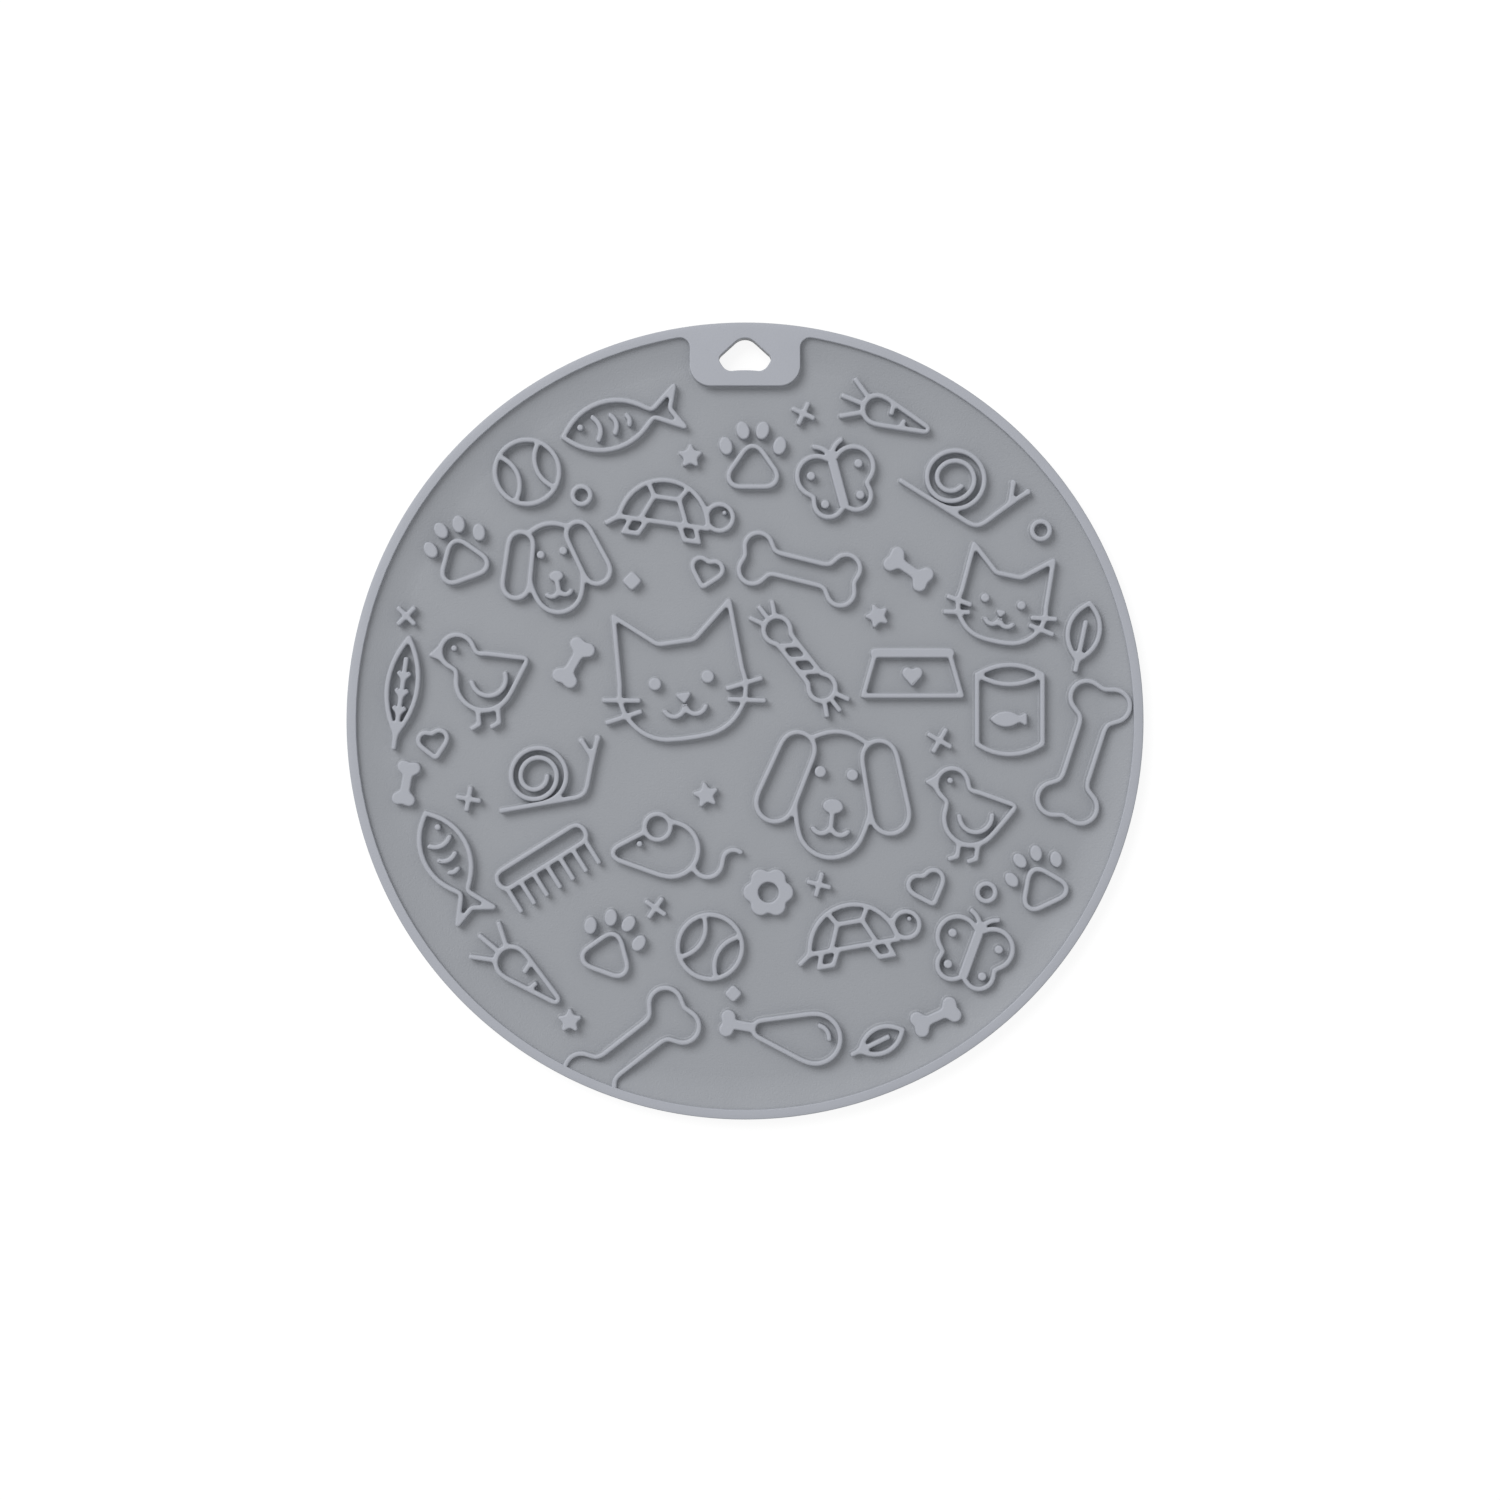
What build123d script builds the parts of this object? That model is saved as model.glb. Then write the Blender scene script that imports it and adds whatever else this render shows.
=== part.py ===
from build123d import *
from math import cos, hypot, radians, sin, sqrt
import os

os.makedirs("parts", exist_ok=True)

# Lick mat: a round silicone sheet with a raised rim, a hang tab and a relief of line figures.
# The origin is the centre of the underside, +Z is up and +Y points to the hang tab.
# All sizes are in millimetres.

# Sheet, rim and relief
OUTER_DIAMETER = 200.0
BASE_THICKNESS = 2.0
RELIEF_HEIGHT = 2.5
RIB_WIDTH = 1.2
RIM_WIDTH = 2.4
RIM_SLOPE_WIDTH = 1.3
RIM_SLOPE_DROP = 0.4

# Hang tab, measured from the outer edge of the mat inwards
TAB_WIDTH = 27.7
TAB_LENGTH = 15.9
TAB_CORNER_ROUND = 5.2
TAB_ROOT_ROUND = 2.5

# Hang hole, a rounded triangle with its apex towards the edge and a foot that dips in at the middle.
# It is widest at its sides, the given rise above its foot.
HOLE_WIDTH = 13.0
HOLE_HEIGHT = 8.3
HOLE_TO_EDGE = 3.9
HOLE_APEX_ROUND = 3.6
HOLE_SIDE_ROUND = 1.5
HOLE_SIDE_RISE = 3.0
HOLE_FOOT_ROUND = 2.7
HOLE_FOOT_INSET = 3.1
HOLE_FOOT_DIP = 0.2

# Arcs of the relief are cut into chords that stray no further than this from the arc.
CHORD_SAG = 0.13

# The middle of the outermost figure lies this far inside the edge of the field.
EDGE_MARGIN = 8.8

# Places of the figures on the field: x, y, turn in degrees, size against the drawn figure.
# The whole layout grows or shrinks with the field.
PLACES = {
    "bones": [(-29, -84, 38, 1.0), (87, -8, 72, 1.0), (14, 39, -14, 0.85)],
    "small_bones": [(-44, 15, 60, 1.0), (42, 39, -35, 1.0), (49, -76, 25, 1.0), (-87, -16, 80, 0.9)],
    "paw_prints": [(2, 66, 0, 1.1), (76, -42, 25, 1.0), (-35, -59, -20, 1.05), (-73, 42, 20, 1.05)],
    "fish": [(-35, 76, 15, 1.05), (-77, -34, -64, 1.0)],
    "cat_heads": [(-16, 8, 8, 1.55), (66, 29, -12, 1.08)],
    "dog_heads": [(23, -18, -6, 1.55), (-49, 40, 10, 1.1)],
    "turtles": [(-21, 51, -8, 1.1), (28, -58, 10, 1.1)],
    "snails": [(54, 62, -32, 1.0), (-53, -14, 10, 0.95)],
    "birds": [(-67, 10, 5, 1.05), (58, -25, -8, 1.0)],
    "toy_mouse": [(-19, -33, -10, 1.15)],
    "butterflies": [(24, 61, 15, 1.05), (58, -60, -20, 1.05)],
    "balls": [(-56, 64, 20, 1.05), (-9, -58, -30, 1.05)],
    "rope_toy": [(14, 16, -52, 0.85)],
    "comb": [(-51, -37, 32, 1.0)],
    "carrots": [(34, 80, -22, 0.95), (-60, -62, -40, 1.05)],
    "drumstick": [(9, -80, -10, 1.05)],
    "food_bowl": [(43, 12, 0, 1.1)],
    "food_tin": [(68, 3, 0, 1.05)],
    "feather": [(-88, 9, 82, 1.0)],
    "leaves": [(35, -82, 26, 0.9), (87, 23, 78, 1.1)],
    "hearts": [(-80, -6, 10, 0.85), (47, -43, 20, 1.05), (-10, 38, -15, 0.9)],
    "flower": [(6, -44, 0, 1.1)],
    "stars": [(-14, 68, 0, 1.0), (34, 27, 20, 1.0), (-45, -77, 0, 1.0), (-10, -19, 10, 1.1)],
    "rings": [(-42, 58, 0, 1.0), (76, 49, 0, 1.0), (62, -44, 0, 1.0)],
    "crosses": [
        (15, 79, 20, 1.0),
        (-87, 27, 0, 1.0),
        (19, -42, 30, 1.0),
        (-23, -48, 10, 1.0),
        (-71, -20, 35, 1.0),
        (50, -5, 15, 1.1),
    ],
    "diamonds": [(-29, 36, 45, 1.1), (-3, -70, 45, 1.0)],
}

# Sizes that follow from those above
outer_radius = OUTER_DIAMETER / 2
field_radius = outer_radius - RIM_WIDTH
layout_reach = max(hypot(x, y) for group in PLACES.values() for x, y, turn, size in group)
fit = field_radius / (layout_reach + EDGE_MARGIN)
tab_lower_edge = outer_radius - TAB_LENGTH
floor_plane = Plane.XY.offset(BASE_THICKNESS)


def outline(pen):
    """Leaves a rib of the pen's width along the edge of the shape in the sketch."""
    offset(amount=pen / 2)
    offset(amount=-pen, mode=Mode.SUBTRACT)


def outlined(shape, pen):
    """A rib of the pen's width along the edge of a filled shape."""
    with BuildSketch() as rib:
        add(shape)
        outline(pen)
    return rib.sketch


def soften(radius):
    """Rounds the inward corners of the shape in the sketch."""
    offset(amount=radius)
    offset(amount=-radius)


def corners(wire):
    """The corners of a closed line whose arcs are cut into chords."""
    points = []
    for edge in wire.order_edges():
        chords = 1
        if edge.geom_type != GeomType.LINE:
            radius = edge.radius if edge.geom_type == GeomType.CIRCLE else edge.length / 6
            chord = 2 * sqrt(2 * radius * CHORD_SAG)
            chords = max(2, round(edge.length / chord))
        points += [edge @ (number / chords) for number in range(chords)]
    return points


def chorded(drawing):
    """The same drawing with its arcs cut into chords."""
    with BuildSketch() as cut:
        for face in drawing.faces():
            with BuildLine():
                Polyline(*corners(face.outer_wire()), close=True)
            make_face()
            for wire in face.inner_wires():
                with BuildLine():
                    Polyline(*corners(wire), close=True)
                make_face(mode=Mode.SUBTRACT)
    return cut.sketch


def straight_rib(pen, *points):
    """A rib with blunt ends along straight runs between points."""
    with BuildSketch() as drawn:
        with BuildLine():
            Polyline(*points)
        trace(line_width=pen)
    return drawn.sketch


def curved_rib(pen, start, through, end):
    """A rib with blunt ends along an arc through three points."""
    with BuildSketch() as drawn:
        with BuildLine():
            ThreePointArc(start, through, end)
        trace(line_width=pen)
    return drawn.sketch


def hull_of(*circles):
    """A filled shape stretched round circles given as x, y and radius."""
    with BuildSketch() as shape:
        for x, y, radius in circles:
            with Locations((x, y)):
                Circle(radius)
        make_hull()
    return shape.sketch


def lens(length, depth):
    """A filled lens along X between two arcs."""
    with BuildSketch() as shape:
        with BuildLine():
            ThreePointArc((-length / 2, 0), (0, depth / 2), (length / 2, 0))
            ThreePointArc((length / 2, 0), (0, -depth / 2), (-length / 2, 0))
        make_face()
    return shape.sketch


def bone_shape(length, knob, shaft):
    """A filled bone along X: a shaft with two knobs at each end."""
    with BuildSketch() as shape:
        Rectangle(length - 2 * knob, shaft)
        with GridLocations(length - 2 * knob, 1.7 * knob, 2, 2):
            Circle(knob)
        soften(0.6 * knob)
    return shape.sketch


def heart_shape(width):
    """A filled heart with its point down."""
    lobe = 0.27 * width
    side = width / 2 - lobe
    with BuildSketch() as shape:
        for way in (-1, 1):
            add(hull_of((way * side, 0.18 * width, lobe), (0, -0.38 * width, 0.06 * width)))
    return shape.sketch


# Each figure below is drawn about its own origin from a few sizes and the pen, the width of its ribs.
# The factors inside a figure are its proportions.


def bone(pen, length=36.0, knob=4.3, shaft=6.6):
    """An outlined bone."""
    with BuildSketch() as drawing:
        add(bone_shape(length, knob, shaft))
        outline(pen)
    return drawing.sketch


def small_bone(pen, length=13.0, knob=1.9):
    """A solid little bone, its shaft two pens thick."""
    with BuildSketch() as drawing:
        add(bone_shape(length, knob, 2 * pen))
    return drawing.sketch


def paw(pen, pad=2.4, toe=1.7):
    """A paw print: an outlined three-lobed pad and four solid toes."""
    with BuildSketch() as drawing:
        add(hull_of((0, 0.8 * pad, pad), (-1.4 * pad, -1.2 * pad, pad), (1.4 * pad, -1.2 * pad, pad)))
        outline(pen)
        for way in (-1, 1):
            with Locations((way * 1.35 * toe, 4.6 * toe), (way * 3.7 * toe, 2.5 * toe)):
                Ellipse(0.95 * toe, 1.35 * toe, rotation=-14 * way)
    return drawing.sketch


def fish(pen, length=23.0, depth=12.0, tail=8.0):
    """A fish with a lens-shaped body, a notched tail, a gill and two scale marks."""
    tail_root = length / 2 - 0.2 * tail
    with BuildSketch() as drawing:
        add(lens(length, depth))
        with BuildLine():
            Polyline(
                (tail_root, 0),
                (tail_root + tail, 0.65 * tail),
                (tail_root + 0.7 * tail, 0),
                (tail_root + tail, -0.65 * tail),
                close=True,
            )
        make_face()
        soften(0.15 * tail)
        outline(pen)
        with Locations((-0.3 * length, 0.1 * depth)):
            Circle(0.75 * pen)
        for along, across in ((-0.16, 0.27), (0.03, 0.22), (0.2, 0.13)):
            x = along * length
            half = across * depth
            add(curved_rib(pen, (x, half), (x + 0.5 * half, 0), (x, -half)))
    return drawing.sketch


def cat_head(pen, half_width=10.5, half_height=8.0):
    """A cat's head from the front, with pointed ears, dot eyes, a nose, a mouth and whiskers."""
    cheek = half_width - half_height
    nose = 0.15 * half_width
    nose_foot = -0.3 * half_height
    nose_top = nose_foot + 1.2 * nose
    with BuildSketch() as drawing:
        add(hull_of((-cheek, 0, half_height), (cheek, 0, half_height)))
        for way in (-1, 1):
            with BuildLine():
                Polyline(
                    (way * 0.98 * half_width, 0.1 * half_height),
                    (way * 0.92 * half_width, 1.7 * half_height),
                    (way * 0.2 * half_width, 0.9 * half_height),
                    close=True,
                )
            make_face()
        soften(0.2 * half_height)
        outline(pen)
        with BuildLine():
            Polyline((-nose, nose_top), (nose, nose_top), (0, nose_foot), close=True)
        make_face()
        for way in (-1, 1):
            with Locations((way * 0.42 * half_width, 0.2 * half_height)):
                Circle(0.11 * half_width)
            add(curved_rib(
                pen,
                (0, nose_foot),
                (way * 0.17 * half_width, nose_foot - 0.24 * half_height),
                (way * 0.34 * half_width, nose_foot - 0.06 * half_height),
            ))
            for rise, lift in ((-0.1, 0.12), (-0.32, -0.14)):
                add(straight_rib(
                    pen,
                    (way * 0.68 * half_width, rise * half_height),
                    (way * 1.28 * half_width, (rise + lift) * half_height),
                ))
    return drawing.sketch


def dog_head(pen, crown=7.4, muzzle=5.6, ear=2.9):
    """A dog's head from the front, with hanging ears, dot eyes, a nose and a mouth."""
    mouth = -0.72 * crown
    with BuildSketch() as drawing:
        add(hull_of((0, 0.35 * crown, crown), (0, -0.75 * crown, muzzle)))
        outline(pen)
        for way in (-1, 1):
            flap = hull_of(
                (way * 0.92 * crown, 0.85 * crown, ear),
                (way * 1.3 * crown, -0.4 * crown, 1.1 * ear),
            )
            add(flap, mode=Mode.SUBTRACT)
            add(outlined(flap, pen))
            with Locations((way * 0.36 * crown, 0.4 * crown)):
                Circle(0.14 * crown)
            add(curved_rib(
                pen,
                (0, mouth),
                (way * 0.2 * crown, mouth - 0.26 * crown),
                (way * 0.42 * crown, mouth - 0.12 * crown),
            ))
        with Locations((0, -0.34 * crown)):
            Ellipse(0.24 * crown, 0.17 * crown)
        add(straight_rib(pen, (0, -0.34 * crown), (0, mouth)))
    return drawing.sketch


def turtle(pen, length=21.0, height=10.0, head=3.2):
    """A turtle from the side: a domed shell with plates, a head, two feet and a tail."""
    half = length / 2
    foot = 0.2 * length
    plate_x = 0.14 * length
    plate_y = 0.58 * height
    with BuildSketch() as drawing:
        with Locations((half + 0.75 * head, 0.3 * height)):
            Circle(head)
        outline(pen)
        with BuildSketch(mode=Mode.PRIVATE) as shell:
            with BuildLine():
                ThreePointArc((-half, 0), (0, height), (half, 0))
                Line((half, 0), (-half, 0))
            make_face()
        add(shell.sketch, mode=Mode.SUBTRACT)
        add(outlined(shell.sketch, pen))
        add(straight_rib(
            pen,
            (-0.26 * length, 0),
            (-plate_x, plate_y),
            (plate_x, plate_y),
            (0.26 * length, 0),
        ))
        for way in (-1, 1):
            add(straight_rib(pen, (way * plate_x, plate_y), (way * 0.22 * length, 0.86 * height)))
            foot_middle = way * 0.27 * length
            toes = foot_middle + way * 0.35 * foot
            add(straight_rib(
                pen,
                (foot_middle - 0.45 * foot, 0),
                (toes - 0.4 * foot, -0.8 * foot),
                (toes + 0.4 * foot, -0.8 * foot),
                (foot_middle + 0.45 * foot, 0),
            ))
        add(straight_rib(pen, (-half, 0), (-half - 0.14 * length, -0.1 * length)))
        with Locations((half + 1.05 * head, 0.42 * height)):
            Circle(0.55 * pen)
    return drawing.sketch


def snail(pen, shell=7.6, turn=2.6):
    """A snail: a shell wound in half circles on a long foot, with two feelers."""
    with BuildSketch() as drawing:
        with BuildLine():
            CenterArc((0, 0), shell, -90, 270)
        trace(line_width=pen)
        with BuildLine():
            CenterArc((-turn / 2, 0), shell - turn / 2, 180, 180)
            CenterArc((0, 0), shell - turn, 0, 180)
            CenterArc((-turn / 2, 0), shell - 1.5 * turn, 180, 180)
        trace(line_width=pen)
        with BuildLine():
            FilletPolyline(
                (-1.6 * shell, -shell),
                (1.5 * shell, -shell),
                (2.0 * shell, 0.3 * shell),
                radius=0.4 * shell,
            )
        trace(line_width=pen)
        for lean in (-0.28, 0.3):
            tip = ((2.0 + lean) * shell, 0.95 * shell)
            add(straight_rib(pen, (2.0 * shell, 0.3 * shell), tip))
            with Locations(tip):
                Circle(0.75 * pen)
    return drawing.sketch


def bird(pen, body=7.0, head=4.2):
    """A chick from the side: a round body with a pointed tail, a wing, a beak and two legs."""
    neck = (-0.85 * body, 1.15 * body)
    with BuildSketch() as drawing:
        add(hull_of((0, 0, body), (1.45 * body, 0.62 * body, 0.1 * body)))
        with Locations(neck):
            Circle(head)
        soften(0.35 * head)
        outline(pen)
        with BuildLine():
            Polyline(
                (neck[0] - 0.95 * head, neck[1] + 0.45 * head),
                (neck[0] - 1.75 * head, neck[1] - 0.1 * head),
                (neck[0] - 0.95 * head, neck[1] - 0.45 * head),
                close=True,
            )
        make_face()
        with Locations((neck[0] - 0.15 * head, neck[1] + 0.2 * head)):
            Circle(0.7 * pen)
        add(curved_rib(
            pen,
            (-0.45 * body, 0.1 * body),
            (0.25 * body, -0.5 * body),
            (0.75 * body, 0.3 * body),
        ))
        for x in (-0.3 * body, 0.4 * body):
            add(straight_rib(pen, (x, -0.9 * body), (x, -1.45 * body), (x - 0.32 * body, -1.6 * body)))
    return drawing.sketch


def mouse(pen, body=6.2, length=19.0, ear=3.0):
    """A toy mouse: a drop-shaped body, a round ear and a curling tail."""
    nose = body - length
    with BuildSketch() as drawing:
        add(hull_of((0, 0, body), (nose + 0.25 * body, -0.45 * body, 0.25 * body)))
        outline(pen)
        with Locations((-0.62 * body, 0.72 * body)):
            Circle(ear + pen / 2)
            Circle(ear - pen / 2, mode=Mode.SUBTRACT)
        with Locations((-1.15 * body, 0)):
            Circle(0.7 * pen)
        with BuildLine():
            curl = ThreePointArc(
                (0.9 * body, -0.5 * body),
                (1.55 * body, -0.75 * body),
                (1.9 * body, -0.1 * body),
            )
            TangentArc(curl @ 1, (2.55 * body, 0.3 * body), tangent=curl % 1)
        trace(line_width=pen)
    return drawing.sketch


def butterfly(pen, upper=5.0, lower=3.7, body=13.0):
    """A butterfly from above: two pairs of round wings with dots, a solid body and feelers."""
    with BuildSketch() as drawing:
        for way in (-1, 1):
            with Locations((way * 0.92 * upper, 0.62 * upper)):
                Circle(upper)
            with Locations((way * 0.95 * lower, -1.05 * lower)):
                Circle(lower)
        Rectangle(2 * pen, body / 2)
        outline(pen)
        SlotOverall(body, 2 * pen, rotation=90)
        for way in (-1, 1):
            with Locations((way * 1.2 * upper, 0.7 * upper), (way * 1.2 * lower, -1.1 * lower)):
                Circle(pen)
            add(curved_rib(
                pen,
                (0, 0.46 * body),
                (way * 0.1 * body, 0.7 * body),
                (way * 0.3 * body, 0.8 * body),
            ))
    return drawing.sketch


def ball(pen, radius=8.0):
    """A tennis ball with its two curved seams."""
    with BuildSketch() as drawing:
        Circle(radius)
        outline(pen)
        for way in (-1, 1):
            add(curved_rib(
                pen,
                (way * 0.66 * radius, 0.75 * radius),
                (way * 0.28 * radius, 0),
                (way * 0.66 * radius, -0.75 * radius),
            ))
    return drawing.sketch


def rope(pen, length=17.0, width=5.0, knot=4.2, fray=5.0):
    """A rope tug: a twisted bar between two knots with frayed ends."""
    with BuildSketch() as drawing:
        Rectangle(length, width)
        with GridLocations(length + 1.2 * knot, 0, 2, 1):
            Circle(knot)
        outline(pen)
        with GridLocations(0.3 * length, 0, 3, 1):
            add(straight_rib(pen, (-0.35 * width, -0.5 * width), (0.35 * width, 0.5 * width)))
        for way in (-1, 1):
            knot_middle = way * (length / 2 + 0.6 * knot)
            for lean in (-28, 0, 28):
                reach_x = way * cos(radians(lean))
                reach_y = sin(radians(lean))
                add(straight_rib(
                    pen,
                    (knot_middle + knot * reach_x, knot * reach_y),
                    (knot_middle + (knot + fray) * reach_x, (knot + fray) * reach_y),
                ))
    return drawing.sketch


def carrot(pen, length=18.0, top=4.0, leaf=6.5):
    """A carrot lying along X with three leaf stalks and two marks on its skin."""
    with BuildSketch() as drawing:
        add(hull_of((0, 0, top), (length - top, 0, 0.2 * top)))
        outline(pen)
        add(straight_rib(pen, (0.2 * length, 0.75 * top), (0.22 * length, 0)))
        add(straight_rib(pen, (0.42 * length, -0.5 * top), (0.44 * length, 0.05 * top)))
        for lean in (-32, 0, 32):
            reach_x = -cos(radians(lean))
            reach_y = sin(radians(lean))
            add(straight_rib(
                pen,
                (top * reach_x, top * reach_y),
                ((top + leaf) * reach_x, (top + leaf) * reach_y),
            ))
    return drawing.sketch


def drumstick(pen, meat=6.2, length=30.0, knob=1.9):
    """A drumstick: an outlined drop of meat on a solid bone."""
    meat_middle = length / 2 - meat
    knob_middle = knob - length / 2
    with BuildSketch() as drawing:
        add(hull_of((meat_middle, 0, meat), (-0.15 * length, 0, 0.35 * meat)))
        outline(pen)
        add(straight_rib(2 * pen, (knob_middle, 0), (-0.2 * length, 0)))
        with Locations((knob_middle, 0.8 * knob), (knob_middle, -0.8 * knob)):
            Circle(knob)
        add(curved_rib(
            pen,
            (meat_middle, 0.55 * meat),
            (meat_middle + 0.4 * meat, 0.4 * meat),
            (meat_middle + 0.55 * meat, 0),
        ))
    return drawing.sketch


def bowl(pen, width=23.0, height=10.0):
    """A feeding bowl from the side with a lip and a solid heart on its wall."""
    with BuildSketch() as drawing:
        Trapezoid(width, height, 74)
        outline(pen)
        with Locations((0, height / 2)):
            SlotOverall(0.86 * width, 2 * pen)
        with Locations((0, -0.05 * height)):
            add(heart_shape(0.5 * height))
    return drawing.sketch


def tin(pen, width=16.0, height=17.0, lid=5.0):
    """A food tin: a lens-shaped lid, straight walls and a label with a solid fish."""
    half = width / 2
    with BuildSketch() as drawing:
        with Locations((0, height / 2)):
            add(lens(width, lid))
        outline(pen)
        with BuildLine():
            Polyline((-half, height / 2), (-half, -height / 2))
            ThreePointArc((-half, -height / 2), (0, -height / 2 - lid / 2), (half, -height / 2))
            Polyline((half, -height / 2), (half, height / 2))
        trace(line_width=pen)
        with Locations((-0.06 * width, -0.14 * height)):
            add(lens(0.5 * width, 0.24 * height))
        with Locations((0.2 * width, -0.14 * height)):
            RegularPolygon(0.13 * width, 3, rotation=180)
    return drawing.sketch


def comb(pen, width=26.0, back=5.0, tooth=7.0, teeth=7):
    """A comb: an outlined back with a row of teeth."""
    pitch = (width - 2 * pen) / (teeth - 1)
    with BuildSketch() as drawing:
        with Locations((0, back / 2)):
            RectangleRounded(width, back, 0.4 * back)
        outline(pen)
        with GridLocations(pitch, 0, teeth, 1):
            add(straight_rib(pen, (0, 0), (0, -tooth)))
    return drawing.sketch


def feather(pen, length=25.0, width=8.0, barbs=3):
    """A feather: a lens-shaped vane on a long shaft, with slanting barbs."""
    barb_reach = 0.2 * width
    with BuildSketch() as drawing:
        add(lens(length, width))
        outline(pen)
        add(straight_rib(pen, (-0.66 * length, 0), (0.3 * length, 0)))
        for number in range(barbs):
            x = length * (0.18 * number - 0.28)
            for way in (-1, 1):
                add(straight_rib(pen, (x, 0), (x + barb_reach, way * barb_reach)))
    return drawing.sketch


def leaf(pen, length=13.5, width=7.6):
    """A leaf with its midrib and stalk."""
    with BuildSketch() as drawing:
        add(lens(length, width))
        outline(pen)
        add(straight_rib(pen, (-0.72 * length, 0), (0.2 * length, 0)))
    return drawing.sketch


def heart(pen, width=9.0):
    """An outlined heart."""
    with BuildSketch() as drawing:
        add(heart_shape(width))
        outline(pen)
    return drawing.sketch


def flower(pen, petal=2.4, petals=6):
    """A solid flower with a round opening in its middle."""
    with BuildSketch() as drawing:
        with PolarLocations(1.5 * petal, petals):
            Circle(petal)
        Circle(1.5 * petal)
        Circle(1.5 * petal - pen, mode=Mode.SUBTRACT)
    return drawing.sketch


def star(pen, radius=3.8, points=5):
    """A solid star whose waist follows the pen."""
    tips = []
    for number in range(2 * points):
        reach = radius if number % 2 == 0 else 1.45 * pen
        angle = radians(90 + 180 * number / points)
        tips.append((reach * cos(angle), reach * sin(angle)))
    with BuildSketch() as drawing:
        with BuildLine():
            Polyline(*tips, close=True)
        make_face()
    return drawing.sketch


def ring(pen, radius=2.4):
    """A round ring."""
    with BuildSketch() as drawing:
        Circle(radius)
        outline(pen)
    return drawing.sketch


def cross(pen, reach=2.3):
    """Two crossed ribs."""
    with BuildSketch() as drawing:
        add(straight_rib(pen, (-reach, -reach), (reach, reach)))
        add(straight_rib(pen, (-reach, reach), (reach, -reach)))
    return drawing.sketch


def diamond(pen, side=3.4):
    """A solid square with rounded corners, set on its corner by its turn."""
    with BuildSketch() as drawing:
        RectangleRounded(side, side, 0.6 * pen)
    return drawing.sketch


# Hang hole as a plan: a hull round its corner circles, with a shallow arc cut off along the foot
hole_top = outer_radius - HOLE_TO_EDGE
hole_foot = hole_top - HOLE_HEIGHT
hole_side_x = HOLE_WIDTH / 2 - HOLE_SIDE_ROUND
hole_foot_x = HOLE_WIDTH / 2 - HOLE_FOOT_INSET
hole_dip_radius = (hole_foot_x**2 + HOLE_FOOT_DIP**2) / (2 * HOLE_FOOT_DIP)
with BuildSketch() as hole_plan:
    add(hull_of(
        (0, hole_top - HOLE_APEX_ROUND, HOLE_APEX_ROUND),
        (-hole_side_x, hole_foot + HOLE_SIDE_RISE, HOLE_SIDE_ROUND),
        (hole_side_x, hole_foot + HOLE_SIDE_RISE, HOLE_SIDE_ROUND),
        (-hole_foot_x, hole_foot + HOLE_FOOT_ROUND, HOLE_FOOT_ROUND),
        (hole_foot_x, hole_foot + HOLE_FOOT_ROUND, HOLE_FOOT_ROUND),
    ))
    with Locations((0, hole_foot + HOLE_FOOT_DIP - hole_dip_radius)):
        Circle(hole_dip_radius, mode=Mode.SUBTRACT)

# Plan of the hang tab, cut to the round edge of the mat
with BuildSketch() as tab_plan:
    with Locations((0, tab_lower_edge)):
        Rectangle(TAB_WIDTH, TAB_LENGTH, align=(Align.CENTER, Align.MIN))
    fillet(tab_plan.vertices().group_by(Axis.Y)[0], TAB_CORNER_ROUND)
    Circle(outer_radius, mode=Mode.INTERSECT)

# Plan of the rim and the tab together, with round roots where the tab runs into the rim
with BuildSketch() as border_plan:
    Circle(outer_radius)
    Circle(field_radius, mode=Mode.SUBTRACT)
    add(tab_plan.sketch)
    root_x = TAB_WIDTH / 2
    root_y = sqrt(field_radius**2 - root_x**2)
    for x in (-root_x, root_x):
        fillet(border_plan.vertices().sort_by_distance((x, root_y))[0], TAB_ROOT_ROUND)
    add(hole_plan.sketch, mode=Mode.SUBTRACT)

# The raised border, which slopes down to the outer edge of the mat
with BuildPart() as border:
    with BuildSketch(floor_plane):
        add(border_plan.sketch)
    extrude(amount=RELIEF_HEIGHT)
    border_top = border.faces().sort_by(Axis.Z)[-1]
    outer_edges = border_top.outer_wire().edges()
    chamfer(outer_edges, RIM_SLOPE_WIDTH, RIM_SLOPE_DROP, reference=border_top)

# Base disc
with BuildPart() as base_disc:
    with BuildSketch():
        Circle(outer_radius)
        add(hole_plan.sketch, mode=Mode.SUBTRACT)
    extrude(amount=BASE_THICKNESS)
base_disc.part.label = "base_disc"
export_step(base_disc.part, "parts/base_disc.step")

# The border is parted just outside the tab's roots.
tab_zone_width = TAB_WIDTH + 4 * TAB_ROOT_ROUND
tab_zone = (tab_zone_width, OUTER_DIAMETER, RELIEF_HEIGHT)
tab_zone_middle = (0, outer_radius, BASE_THICKNESS + RELIEF_HEIGHT / 2)

# Hang tab
with BuildPart() as hang_tab:
    add(border.part)
    with Locations(tab_zone_middle):
        Box(*tab_zone, mode=Mode.INTERSECT)
hang_tab.part.label = "hang_tab"
export_step(hang_tab.part, "parts/hang_tab.step")

# Rim
with BuildPart() as rim:
    add(border.part)
    with Locations(tab_zone_middle):
        Box(*tab_zone, mode=Mode.SUBTRACT)
rim.part.label = "rim"
export_step(rim.part, "parts/rim.step")

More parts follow.
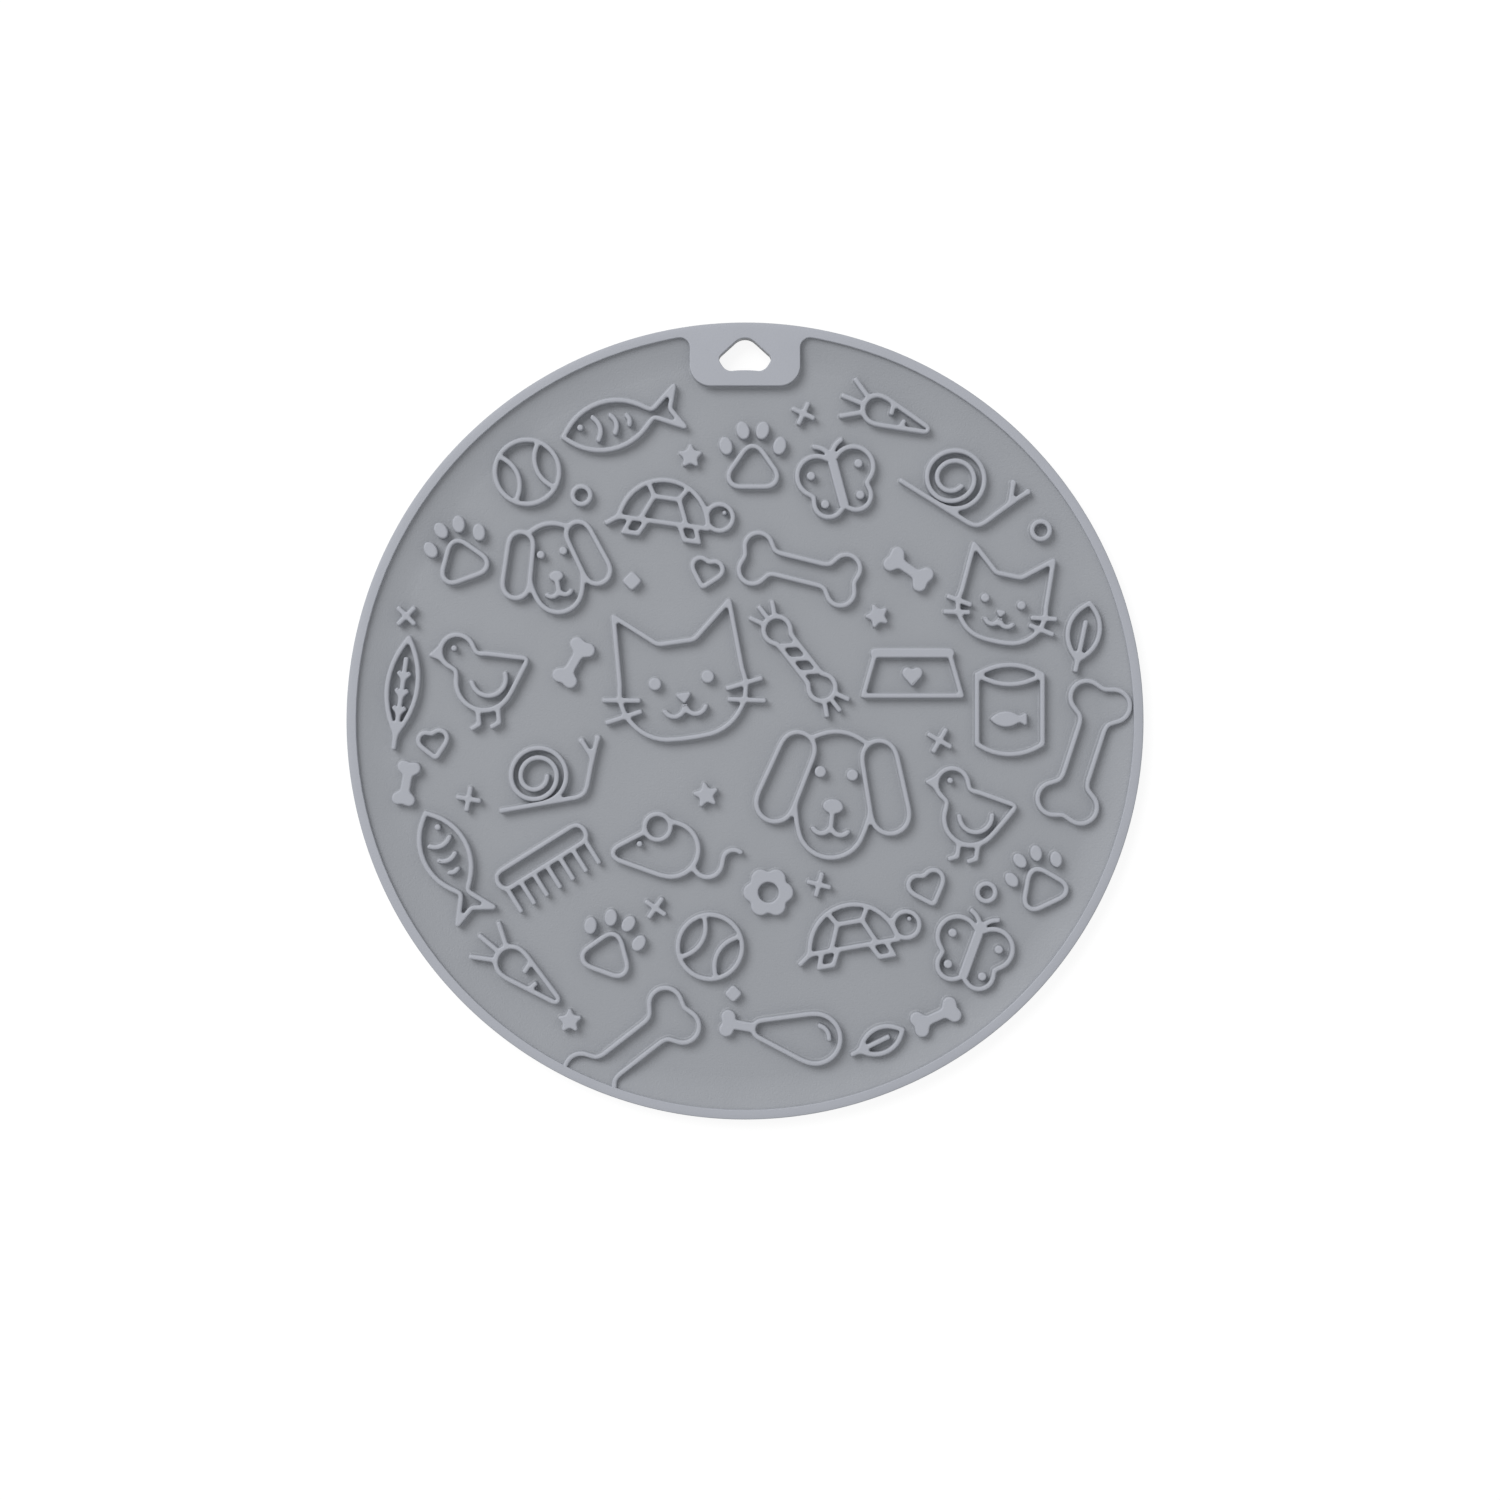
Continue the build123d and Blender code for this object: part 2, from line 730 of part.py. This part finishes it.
# The relief: each family of figures is one group of raised ribs standing on the floor of the field.
FIGURES = {
    "bones": bone,
    "small_bones": small_bone,
    "paw_prints": paw,
    "fish": fish,
    "cat_heads": cat_head,
    "dog_heads": dog_head,
    "turtles": turtle,
    "snails": snail,
    "birds": bird,
    "toy_mouse": mouse,
    "butterflies": butterfly,
    "balls": ball,
    "rope_toy": rope,
    "comb": comb,
    "carrots": carrot,
    "drumstick": drumstick,
    "food_bowl": bowl,
    "food_tin": tin,
    "feather": feather,
    "leaves": leaf,
    "hearts": heart,
    "flower": flower,
    "stars": star,
    "rings": ring,
    "crosses": cross,
    "diamonds": diamond,
}

for name, figure in FIGURES.items():
    with BuildPart() as group:
        with BuildSketch(floor_plane):
            for x, y, turn, size in PLACES[name]:
                growth = fit * size
                with Locations(Location((x * fit, y * fit), turn)):
                    add(chorded(figure(RIB_WIDTH / growth).scale(growth)))
            Circle(field_radius, mode=Mode.INTERSECT)
            add(tab_plan.sketch, mode=Mode.SUBTRACT)
        extrude(amount=RELIEF_HEIGHT)
    group.part.label = name
    export_step(group.part, f"parts/{name}.step")
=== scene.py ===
import cmath
import math

import bmesh
import bpy
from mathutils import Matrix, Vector


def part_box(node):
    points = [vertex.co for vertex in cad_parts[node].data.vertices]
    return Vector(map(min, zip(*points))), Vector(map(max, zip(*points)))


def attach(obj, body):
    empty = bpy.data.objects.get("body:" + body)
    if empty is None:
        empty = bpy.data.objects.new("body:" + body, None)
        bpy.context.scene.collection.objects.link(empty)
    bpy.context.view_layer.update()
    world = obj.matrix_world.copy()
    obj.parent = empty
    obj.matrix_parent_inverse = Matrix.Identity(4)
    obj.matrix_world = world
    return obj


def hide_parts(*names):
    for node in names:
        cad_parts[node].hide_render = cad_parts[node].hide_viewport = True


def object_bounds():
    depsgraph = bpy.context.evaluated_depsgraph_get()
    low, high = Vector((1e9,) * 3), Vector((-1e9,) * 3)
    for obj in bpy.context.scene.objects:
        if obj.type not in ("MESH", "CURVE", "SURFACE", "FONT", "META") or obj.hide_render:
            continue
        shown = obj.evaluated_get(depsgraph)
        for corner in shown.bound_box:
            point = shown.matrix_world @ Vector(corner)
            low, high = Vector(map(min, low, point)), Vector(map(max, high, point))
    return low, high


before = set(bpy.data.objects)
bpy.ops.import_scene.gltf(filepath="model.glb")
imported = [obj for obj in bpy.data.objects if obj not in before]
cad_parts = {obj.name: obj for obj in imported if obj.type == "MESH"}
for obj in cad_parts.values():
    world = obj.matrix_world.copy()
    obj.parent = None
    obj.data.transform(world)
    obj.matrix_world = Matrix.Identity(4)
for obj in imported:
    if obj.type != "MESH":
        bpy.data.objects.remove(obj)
cad_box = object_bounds()

# Driving sizes, in metres
MM = 0.001
WELD = 0.002 * MM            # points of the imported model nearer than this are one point
SAME_POINT = 0.001 * MM      # points of a rounded loop nearer than this are one point
BEND_SOFTNESS = 0.17 * MM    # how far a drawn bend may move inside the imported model's corner
CORNER_ROUND = 0.50 * MM     # plan radius of a corner or a rib's end, where its edges leave room
CREST_ROUND = 0.45 * MM      # rounded top edge of the ribs
TAB_ROUND = 0.20 * MM        # rounded top edge of the tab, the hang hole and the rim's inner side
ROOT_ROUND = 0.45 * MM       # fillet where a raised wall grows out of the floor
ROOT_SINK = 0.10 * MM        # how deep a raised wall's hidden foot lies in the sheet
COVE_WIDTH = 8.0 * MM        # the floor curves up towards the rim over this width
COVE_RISE = 1.4 * MM         # and by this height
COVE_POWER = 1.6             # how the rise gathers towards the wall, 1 for a straight ramp
COVE_END = 10.0 * MM         # it ends this far from the middle of the tab, inside the tab
RIM_EDGE_ROUND = 0.35 * MM   # rounded outer edge of the rim
RIM_SLOPE_WIDTH = 1.30 * MM  # the rim's top slopes down to that edge over this width
RIM_SLOPE_DROP = 0.10 * MM   # and by this height
FOOT_ROUND = 0.50 * MM       # rounded lower edge of the sheet
CREST_BAND = 0.06 * MM       # flat strip beside a rounded top edge
CREST_DROP = 0.01 * MM       # ribs end a hair under the rim, so no two tops share a plane
RIM_NEAR = 0.1 * MM          # a rib's point nearer than this to the rim lies on it
RIM_LAP = 0.9 * MM           # how far the cove and a rib cropped by the rim run on into it

# How finely curves are drawn, angles in radians
BEND_STEP = math.radians(10)     # turn of one step of a plan bend
STRAIGHT_HALF_TURN = 0.001       # a point whose half turn is under this is on a straight line
SHARP_HALF_TURN = 1.3            # a sharper corner gets the reach of this one
PROFILE_STEPS = 4                # steps of a rounded edge or fillet
COVE_STEPS = 12                  # steps across the cove
OUTER_STEPS = 360                # steps round the mat
SMOOTH_ANGLE = math.radians(50)  # edges sharper than this are shaded as edges

# Heights and radii from the frame
floor_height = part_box("base_disc")[1].z
crest_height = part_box("rim")[1].z
outer_radius = min(cad_box[1].x, cad_box[1].y, -cad_box[0].x, -cad_box[0].y)


def top_loops(*nodes):
    """The closed edges of the flat tops of CAD nodes, solid on the left, as complex plan points."""
    mesh = bmesh.new()
    for node in nodes:
        mesh.from_mesh(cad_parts[node].data)
    bmesh.ops.remove_doubles(mesh, verts=mesh.verts, dist=WELD)
    top = max(vert.co.z for vert in mesh.verts)
    walls = [face for face in mesh.faces if any(top - vert.co.z > WELD for vert in face.verts)]
    bmesh.ops.delete(mesh, geom=walls, context="FACES")
    waiting = {corner: True for face in mesh.faces for corner in face.loops if corner.edge.is_boundary}
    loops = []
    while waiting:
        corner = next(iter(waiting))
        loop = []
        while waiting.pop(corner, False):
            loop.append(complex(corner.vert.co.x, corner.vert.co.y))
            corner = corner.link_loop_next
            while not corner.edge.is_boundary:
                corner = corner.link_loop_radial_next.link_loop_next
        loops.append(loop)
    mesh.free()
    return loops


def neighbours(loop):
    """Each point of a closed loop with the one before it and the one after it."""
    return zip(loop[-1:] + loop[:-1], loop, loop[1:] + loop[:1])


def turn_between(back, ahead):
    """The signed turn at a point, from the steps to the point and away from it."""
    return cmath.phase(ahead / back)


def rounded(loop):
    """The loop with an arc in place of each corner, so that bends drawn in chords run smoothly."""
    smooth = []
    for before, here, after in neighbours(loop):
        back = before - here
        ahead = after - here
        turn = turn_between(-back, ahead)
        half = abs(turn) / 2
        if half < STRAIGHT_HALF_TURN:
            smooth.append(here)
            continue
        corner_reach = CORNER_ROUND * math.tan(min(half, SHARP_HALF_TURN))
        wanted = max(BEND_SOFTNESS / math.tan(half / 2), corner_reach)
        reach = min(abs(back) / 2, abs(ahead) / 2, wanted)
        start = here + back / abs(back) * reach
        bisector = back / abs(back) + ahead / abs(ahead)
        centre = here + bisector / abs(bisector) * reach / math.sin(half)
        steps = max(1, math.ceil(abs(turn) / BEND_STEP))
        for step in range(steps + 1):
            smooth.append(centre + (start - centre) * cmath.rect(1, turn * step / steps))
    return [here for before, here, after in neighbours(smooth) if abs(here - before) > SAME_POINT]


def inward(loop):
    """The unit step towards the solid side at each point of a loop."""
    steps = []
    for before, here, after in neighbours(loop):
        back = (here - before) / abs(here - before)
        ahead = (after - here) / abs(after - here)
        steps.append(1j * (back + ahead) / abs(back + ahead))
    return steps


def arc_rows(centre_inset, centre_height, radius, start, end):
    """Rows (inset, height) along an arc of a profile, angles in degrees."""
    rows = []
    for step in range(PROFILE_STEPS + 1):
        angle = math.radians(start + (end - start) * step / PROFILE_STEPS)
        rows.append((centre_inset + radius * math.cos(angle), centre_height + radius * math.sin(angle)))
    return rows


def wall_rings(loop, rows):
    """The rings of points that a profile's rows make round a loop."""
    steps = inward(loop)
    rings = []
    for inset, height in rows:
        plan = [here + step * inset for here, step in zip(loop, steps)]
        rings.append([(point.real, point.imag, height) for point in plan])
    return rings


def root_rows():
    """The hollow foot of a raised wall, from a hidden edge inside the sheet."""
    fillet = arc_rows(-ROOT_ROUND, floor_height + ROOT_ROUND, ROOT_ROUND, -90, 0)
    return [(0, floor_height - ROOT_SINK)] + fillet


def crest_rows(crest, radius):
    """The rounded top edge of a raised wall, and the strip of flat top beside it."""
    return arc_rows(radius, crest - radius, radius, 180, 90) + [(radius + CREST_BAND, crest)]


def rim_rows():
    """The rim's outer side: a rounded edge, then a gentle slope up to the crest."""
    steepness = math.atan(RIM_SLOPE_DROP / RIM_SLOPE_WIDTH)
    edge_reach = RIM_EDGE_ROUND * math.tan((math.pi / 2 - steepness) / 2)
    edge_height = crest_height - RIM_SLOPE_DROP - edge_reach
    edge_end = 90 + math.degrees(steepness)
    edge = arc_rows(RIM_EDGE_ROUND, edge_height, RIM_EDGE_ROUND, 180, edge_end)
    return [(0, floor_height)] + edge + [(RIM_SLOPE_WIDTH, crest_height)]


def moulded(name, walls, *nodes):
    """A closed mesh of walls, each a row of rings whose first and last are filled, for any nodes named."""
    shape = bmesh.new()
    first_edges = []
    last_edges = []
    for wall in walls:
        rings = [[shape.verts.new(point) for point in ring] for ring in wall]
        for low, high in zip(rings, rings[1:]):
            for i in range(len(low)):
                shape.faces.new((low[i - 1], low[i], high[i], high[i - 1]))
        for ring, edges in ((rings[0], first_edges), (rings[-1], last_edges)):
            edges.extend(shape.edges.get((ring[i - 1], ring[i])) for i in range(len(ring)))
    for edges in (first_edges, last_edges):
        bmesh.ops.triangle_fill(shape, use_beauty=True, edges=edges)
    bmesh.ops.recalc_face_normals(shape, faces=shape.faces)
    mesh = bpy.data.meshes.new(name)
    shape.to_mesh(mesh)
    shape.free()
    mesh.shade_smooth()
    mesh.set_sharp_from_angle(angle=SMOOTH_ANGLE)
    piece = bpy.data.objects.new(name, mesh)
    bpy.context.scene.collection.objects.link(piece)
    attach(piece, "root")
    if nodes:
        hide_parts(*nodes)
    return piece


# Plan loops of the border: its outer circle, the field's edge and the hang hole
border_loops = sorted(top_loops("rim", "hang_tab"), key=lambda loop: max(abs(p) for p in loop))
hole_loop, field_loop = (rounded(loop) for loop in border_loops[:2])
outer_loop = [cmath.rect(outer_radius, math.tau * i / OUTER_STEPS) for i in range(OUTER_STEPS)]
field_radius = max(abs(p) for p in border_loops[1])


def lapped(loop):
    """The loop with its points on the field's edge pushed on into the rim."""
    return [p * (1 + RIM_LAP / abs(p)) if abs(p) > field_radius - RIM_NEAR else p for p in loop]


def cove_sections():
    """The floor's rise towards the rim as closed sections, from one half of the tab round to the other."""
    profile = [(-RIM_LAP, -ROOT_SINK), (-RIM_LAP, COVE_RISE)]
    for step in range(COVE_STEPS + 1):
        out = step / COVE_STEPS
        profile.append((COVE_WIDTH * out, COVE_RISE * (1 - out)**COVE_POWER))
    profile.append((COVE_WIDTH, -ROOT_SINK))
    half_gap = math.asin(COVE_END / field_radius)
    sections = []
    for step in range(OUTER_STEPS + 1):
        angle = math.pi / 2 + half_gap + (math.tau - 2 * half_gap) * step / OUTER_STEPS
        way = cmath.rect(1, angle)
        plan = [(way * (field_radius - inset), floor_height + height) for inset, height in profile]
        sections.append([(point.real, point.imag, height) for point, height in plan])
    return sections


# The sheet
foot = arc_rows(FOOT_ROUND, FOOT_ROUND, FOOT_ROUND, -90, -180)
sheet_rows = foot + [(0, floor_height)]
sheet = moulded("sheet", [wall_rings(loop, sheet_rows) for loop in (outer_loop, hole_loop)], "base_disc")

# The border: the rim and the tab
outer_wall = wall_rings(outer_loop, rim_rows())
field_wall = wall_rings(field_loop, root_rows() + crest_rows(crest_height, TAB_ROUND))
hole_wall = wall_rings(hole_loop, [(0, floor_height)] + crest_rows(crest_height, TAB_ROUND))
border = moulded("border", [outer_wall, field_wall, hole_wall], "rim", "hang_tab")

# The cove at the foot of the rim
cove = moulded("cove", [cove_sections()])

# The raised figures, one piece for each family
rib_rows = root_rows() + crest_rows(crest_height - CREST_DROP, CREST_ROUND)
reliefs = []
for node in sorted(set(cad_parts) - {"base_disc", "rim", "hang_tab"}):
    walls = [wall_rings(rounded(lapped(loop)), rib_rows) for loop in top_loops(node)]
    reliefs.append(moulded(f"relief_{node}", walls, node))


def new_material(name):
    """An empty node material, its node tree and its output node."""
    material = bpy.data.materials.new(name)
    material.use_nodes = True
    tree = material.node_tree
    tree.nodes.clear()
    output = tree.nodes.new("ShaderNodeOutputMaterial")
    return material, tree, output


def noise(tree, coordinates, scale, detail):
    """A noise pattern's value, scale in features per metre."""
    node = tree.nodes.new("ShaderNodeTexNoise")
    node.inputs["Scale"].default_value = scale
    node.inputs["Detail"].default_value = detail
    tree.links.new(coordinates, node.inputs["Vector"])
    return node.outputs["Fac"]


def ranged(tree, value, low, high, to_low, to_high):
    """A value carried from one range to another."""
    node = tree.nodes.new("ShaderNodeMapRange")
    for socket, number in zip(("From Min", "From Max", "To Min", "To Max"), (low, high, to_low, to_high)):
        node.inputs[socket].default_value = number
    tree.links.new(value, node.inputs["Value"])
    return node.outputs["Result"]


# The Mix node's colour sockets by number, because its other data types have sockets of the same names
MIX_FIRST = 6
MIX_SECOND = 7
MIX_RESULT = 2


def mixed(tree, share, first, second):
    """Two colours mixed by a share; a colour is a socket or three numbers."""
    node = tree.nodes.new("ShaderNodeMix")
    node.data_type = "RGBA"
    tree.links.new(share, node.inputs["Factor"])
    for socket, colour in ((node.inputs[MIX_FIRST], first), (node.inputs[MIX_SECOND], second)):
        if isinstance(colour, tuple):
            socket.default_value = (*colour, 1)
        else:
            tree.links.new(colour, socket)
    return node.outputs[MIX_RESULT]


# The mat's material
LOW_SHADED_COLOUR = (0.320, 0.334, 0.361)     # painted shade: the darker copy of the grey, on the floor, the cove and the walls' feet
CREST_LIT_COLOUR = (0.396, 0.412, 0.456)     # painted light: the paler copy of the grey, on the tops of ribs, rim and tab
MOTTLE_COLOUR = (0.20, 0.21, 0.23)       # the colour drifts towards this one from patch to patch
MOTTLE_SHADE = 0.07                      # by at most this share
MOTTLE_SCALE = 60                        # in patches per metre
MOTTLE_DETAIL = 3
SMOOTHEST = 0.46                         # least roughness
ROUGHEST = 0.58                          # and most
ROUGHNESS_SCALE = 260                    # in patches per metre
GRAIN_DEPTH = 0.20 * MM                  # height range of the frosted grain
GRAIN_SCALE = 2600                       # in grains per metre
FLOOR_GRAIN = 0.60                       # share of its depth on the floor
CREST_GRAIN = 0.25                       # and on the crests
FINE_DETAIL = 2                          # noise detail of the roughness and the grain
NOISE_LOW = 0.3                          # a noise pattern's values lie mostly above this
NOISE_HIGH = 0.7                         # and below this
SILICONE_IOR = 1.41
SHEEN_WEIGHT = 0.08
SHEEN_ROUGHNESS = 0.5


def silicone():
    """Grey moulded silicone, painted darker low down and paler on the crests as painted shade and light,
    with more frosted grain on the floor and less on the crests.
    """
    material, tree, output = new_material("grey_silicone")
    shader = tree.nodes.new("ShaderNodeBsdfPrincipled")
    shader.inputs["IOR"].default_value = SILICONE_IOR
    shader.inputs["Sheen Weight"].default_value = SHEEN_WEIGHT
    shader.inputs["Sheen Roughness"].default_value = SHEEN_ROUGHNESS
    tree.links.new(shader.outputs["BSDF"], output.inputs["Surface"])
    place = tree.nodes.new("ShaderNodeTexCoord").outputs["Object"]
    axes = tree.nodes.new("ShaderNodeSeparateXYZ")
    tree.links.new(place, axes.inputs["Vector"])

    # 0 up to the cove's top, 1 at the crests; it sets the painted shade and light and the grain's share
    height = ranged(tree, axes.outputs["Z"], floor_height + COVE_RISE, crest_height - CREST_ROUND, 0, 1)
    mottle = noise(tree, place, MOTTLE_SCALE, MOTTLE_DETAIL)
    shade = ranged(tree, mottle, NOISE_LOW, NOISE_HIGH, 0, MOTTLE_SHADE)
    # Painted shade and light by height alone: darker on the floor, the cove and the walls' feet, paler on
    # the crests
    body = mixed(tree, height, LOW_SHADED_COLOUR, CREST_LIT_COLOUR)
    tree.links.new(mixed(tree, shade, body, MOTTLE_COLOUR), shader.inputs["Base Color"])

    patches = noise(tree, place, ROUGHNESS_SCALE, FINE_DETAIL)
    roughness = ranged(tree, patches, NOISE_LOW, NOISE_HIGH, SMOOTHEST, ROUGHEST)
    tree.links.new(roughness, shader.inputs["Roughness"])

    grain = tree.nodes.new("ShaderNodeBump")
    grain.inputs["Distance"].default_value = GRAIN_DEPTH
    tree.links.new(ranged(tree, height, 0, 1, FLOOR_GRAIN, CREST_GRAIN), grain.inputs["Strength"])
    tree.links.new(noise(tree, place, GRAIN_SCALE, FINE_DETAIL), grain.inputs["Height"])
    tree.links.new(grain.outputs["Normal"], shader.inputs["Normal"])
    return material


grey_silicone = silicone()
for piece in [sheet, border, cove] + reliefs:
    piece.data.materials.append(grey_silicone)


def seen_directly(tree):
    """1 for rays from the camera or by way of a mirror or glass, else 0."""
    path = tree.nodes.new("ShaderNodeLightPath")
    share = path.outputs["Is Camera Ray"]
    for kind in ("Is Glossy Ray", "Is Transmission Ray"):
        either = tree.nodes.new("ShaderNodeMath")
        either.operation = "MAXIMUM"
        tree.links.new(share, either.inputs[0])
        tree.links.new(path.outputs[kind], either.inputs[1])
        share = either.outputs["Value"]
    return share


# The white floor, which keeps the mat's soft shadow
FLOOR_REACH = 4.0            # length of its sides
FLOOR_DROP = 0.1 * MM        # it lies this far under the mat, so that no two faces share a plane
FLOOR_DIFFUSE = 0.18         # the share of white that takes light and shadow
FLOOR_GLOW = 0.87            # what is added to it where it is seen, so that it shows as white


def white_floor():
    """A matt white that shows as the photograph's blank background, shadow included."""
    material, tree, output = new_material("white_floor")
    matt = tree.nodes.new("ShaderNodeBsdfDiffuse")
    matt.inputs["Color"].default_value = (FLOOR_DIFFUSE, FLOOR_DIFFUSE, FLOOR_DIFFUSE, 1)
    glow = tree.nodes.new("ShaderNodeEmission")
    tree.links.new(ranged(tree, seen_directly(tree), 0, 1, 0, FLOOR_GLOW), glow.inputs["Strength"])
    both = tree.nodes.new("ShaderNodeAddShader")
    tree.links.new(matt.outputs["BSDF"], both.inputs[0])
    tree.links.new(glow.outputs["Emission"], both.inputs[1])
    tree.links.new(both.outputs["Shader"], output.inputs["Surface"])
    return material


floor_shape = bmesh.new()
bmesh.ops.create_grid(floor_shape, x_segments=1, y_segments=1, size=FLOOR_REACH / 2)
floor_mesh = bpy.data.meshes.new("studio_floor")
floor_shape.to_mesh(floor_mesh)
floor_shape.free()
floor_mesh.materials.append(white_floor())
studio_floor = bpy.data.objects.new("studio_floor", floor_mesh)
studio_floor.location.z = -FLOOR_DROP
bpy.context.scene.collection.objects.link(studio_floor)

# Soft studio light: an even fill from all round and one large lamp from the upper left
FILL_STRENGTH = 0.56
LAMP_PLACE = Vector((-2.4, 2.4, 3.4))
LAMP_SIZE = 3.0
LAMP_POWER = 141.0

world = bpy.data.worlds.new("studio")
bpy.context.scene.world = world
world.use_nodes = True
surround = world.node_tree.nodes["Background"]
surround.inputs["Color"].default_value = (1, 1, 1, 1)
fill = ranged(world.node_tree, seen_directly(world.node_tree), 0, 1, FILL_STRENGTH, 1)
world.node_tree.links.new(fill, surround.inputs["Strength"])

lamp_data = bpy.data.lights.new("softbox", "AREA")
lamp_data.shape = "DISK"
lamp_data.size = LAMP_SIZE
lamp_data.energy = LAMP_POWER
lamp = bpy.data.objects.new("softbox", lamp_data)
lamp.location = LAMP_PLACE
lamp.rotation_mode = "QUATERNION"
lamp.rotation_quaternion = (-LAMP_PLACE).to_track_quat("-Z", "Y")
bpy.context.scene.collection.objects.link(lamp)

# Camera straight above, framed as the photograph is
PHOTO_WIDTH_PX = 1500
MAT_WIDTH_PX = 797
MAT_CENTRE_PX = (745.0, 721.0)
CAMERA_HEIGHT = 0.68         # above the rim's widest place

pixel = 2 * outer_radius / MAT_WIDTH_PX
widest_height = crest_height - RIM_SLOPE_DROP - RIM_EDGE_ROUND
camera_data = bpy.data.cameras.new("photo_camera")
camera_data.lens = camera_data.sensor_width * CAMERA_HEIGHT / (PHOTO_WIDTH_PX * pixel)
camera = bpy.data.objects.new("photo_camera", camera_data)
camera.location = (
    (PHOTO_WIDTH_PX / 2 - MAT_CENTRE_PX[0]) * pixel,
    (MAT_CENTRE_PX[1] - PHOTO_WIDTH_PX / 2) * pixel,
    widest_height + CAMERA_HEIGHT,
)
bpy.context.scene.collection.objects.link(camera)
bpy.context.scene.camera = camera
bpy.context.scene.view_settings.view_transform = "Standard"
